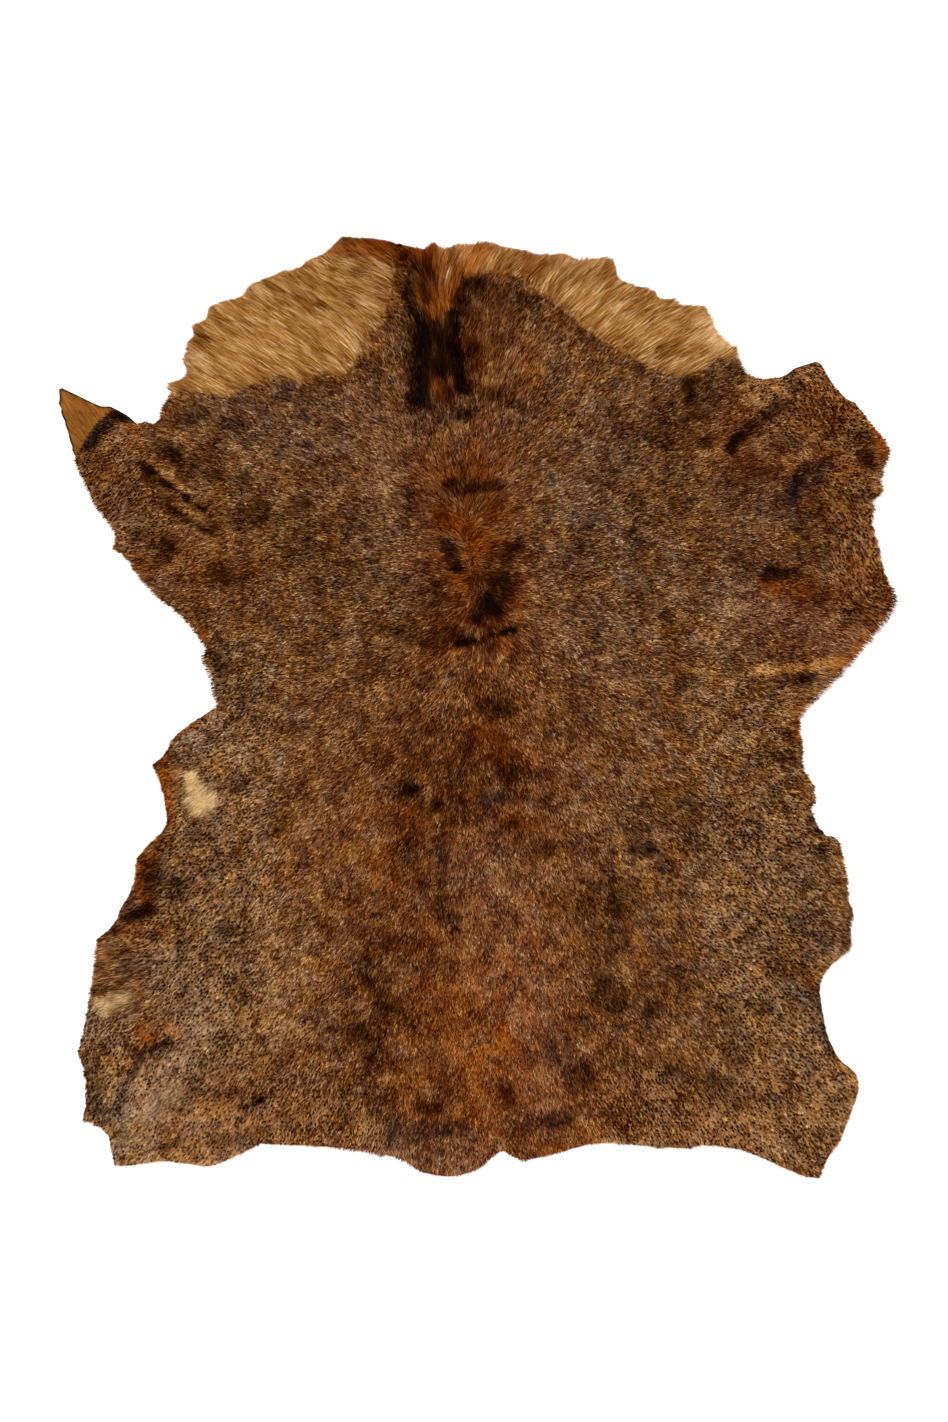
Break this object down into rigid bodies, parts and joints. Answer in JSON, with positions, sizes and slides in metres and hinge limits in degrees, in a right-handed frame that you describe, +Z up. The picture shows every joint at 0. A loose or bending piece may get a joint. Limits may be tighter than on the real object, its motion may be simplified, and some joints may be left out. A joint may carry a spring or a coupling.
{
  "type": "sheepskin hide rug",
  "caption": "Flat tanned sheepskin with its short brindled coat on, in its natural hide outline, to lie on as a rug or throw.",
  "frame": {"origin": "on the floor, under the middle of the hide's outline", "axes": "+Z up through the coat, the way the hide is thinnest; +Y along the spine towards the neck; +X towards the hide's right side as it lies coat up"},
  "size_m": [0.838, 0.941, 0.0165],
  "materials": {
    "coat": "short lying brown hair over tanned leather, brindled, with two tan patches at the neck"
  },
  "bodies": {
    "root": {"sheepskin": "coat"}
  },
  "joints": []
}
